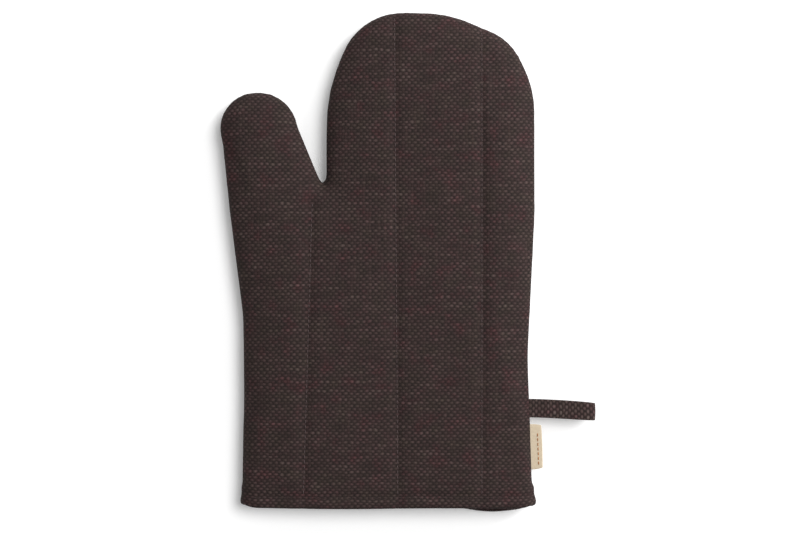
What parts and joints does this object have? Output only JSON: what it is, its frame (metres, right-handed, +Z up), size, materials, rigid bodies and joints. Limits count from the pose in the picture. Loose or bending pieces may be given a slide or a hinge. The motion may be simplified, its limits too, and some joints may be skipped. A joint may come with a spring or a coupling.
{
  "type": "oven mitt",
  "caption": "Padded fabric oven mitt, quilted in straight rows, with a thumb, a lined hand pocket, a hanging loop and a blank side label.",
  "frame": {"origin": "underside of the flat mitt, in the middle of the cuff's width and half way from mouth to fingertips", "axes": "+Y from the mouth to the fingertips, +Z up through the front panel, -X towards the thumb"},
  "size_m": [0.2316, 0.308, 0.022],
  "materials": {
    "melange_cloth": "dark brown melange basket weave",
    "wadding": "lofty polyester wadding",
    "lining_cotton": "plain dark cotton",
    "sewing_thread": "matt spun thread",
    "label_tape": "cream woven tape"
  },
  "bodies": {
    "palm": {"front_shell": "melange_cloth", "back_shell": "melange_cloth", "front_wadding": "wadding", "back_wadding": "wadding", "front_lining": "lining_cotton", "back_lining": "lining_cotton", "shell_knuckle_fold": "melange_cloth", "wadding_knuckle_fold": "wadding", "lining_knuckle_fold": "lining_cotton", "shell_thumb_fold": "melange_cloth", "wadding_thumb_fold": "wadding", "lining_thumb_fold": "lining_cotton", "quilting_knuckle_fold": "sewing_thread", "front_quilting": "sewing_thread", "back_quilting": "sewing_thread", "front_hem_stitching": "sewing_thread", "back_hem_stitching": "sewing_thread", "seam_thread": "sewing_thread", "lining_seam_thread": "sewing_thread", "loop_ends": "melange_cloth", "label_ends": "label_tape"},
    "fingers": {"front_shell_fingers": "melange_cloth", "back_shell_fingers": "melange_cloth", "front_wadding_fingers": "wadding", "back_wadding_fingers": "wadding", "front_lining_fingers": "lining_cotton", "back_lining_fingers": "lining_cotton", "front_quilting_fingers": "sewing_thread", "back_quilting_fingers": "sewing_thread", "seam_thread_fingers": "sewing_thread", "lining_seam_thread_fingers": "sewing_thread"},
    "thumb": {"front_shell_thumb": "melange_cloth", "back_shell_thumb": "melange_cloth", "front_wadding_thumb": "wadding", "back_wadding_thumb": "wadding", "front_lining_thumb": "lining_cotton", "back_lining_thumb": "lining_cotton", "seam_thread_thumb": "sewing_thread", "lining_seam_thread_thumb": "sewing_thread"},
    "loop": {"hanging_loop": "melange_cloth"},
    "label": {"side_label": "label_tape"}
  },
  "joints": [
    {"name": "finger_fold", "type": "hinge", "parent": "palm", "child": "fingers", "pos_m": [0.0267, 0.072, 0.011], "axis": [1, 0, 0], "range_deg": [-70, 70], "stiffness_Nm_per_rad": 0.012, "deforming": ["shell_knuckle_fold", "wadding_knuckle_fold", "lining_knuckle_fold", "quilting_knuckle_fold"]},
    {"name": "thumb_fold", "type": "hinge", "parent": "palm", "child": "thumb", "pos_m": [-0.07373, 0.062, 0.011], "axis": [0.9647, 0.2635, 0], "range_deg": [-60, 60], "stiffness_Nm_per_rad": 0.003, "deforming": ["shell_thumb_fold", "wadding_thumb_fold", "lining_thumb_fold"]},
    {"name": "loop_swing", "type": "hinge", "parent": "palm", "child": "loop", "pos_m": [0.08939, -0.0912, 0.011], "axis": [0, -1, 0], "range_deg": [-80, 80], "stiffness_Nm_per_rad": 0.001},
    {"name": "label_flap", "type": "hinge", "parent": "palm", "child": "label", "pos_m": [0.08913, -0.11517, 0.011], "axis": [0.037, -0.9993, 0], "range_deg": [-80, 80], "stiffness_Nm_per_rad": 0.00002}
  ]
}
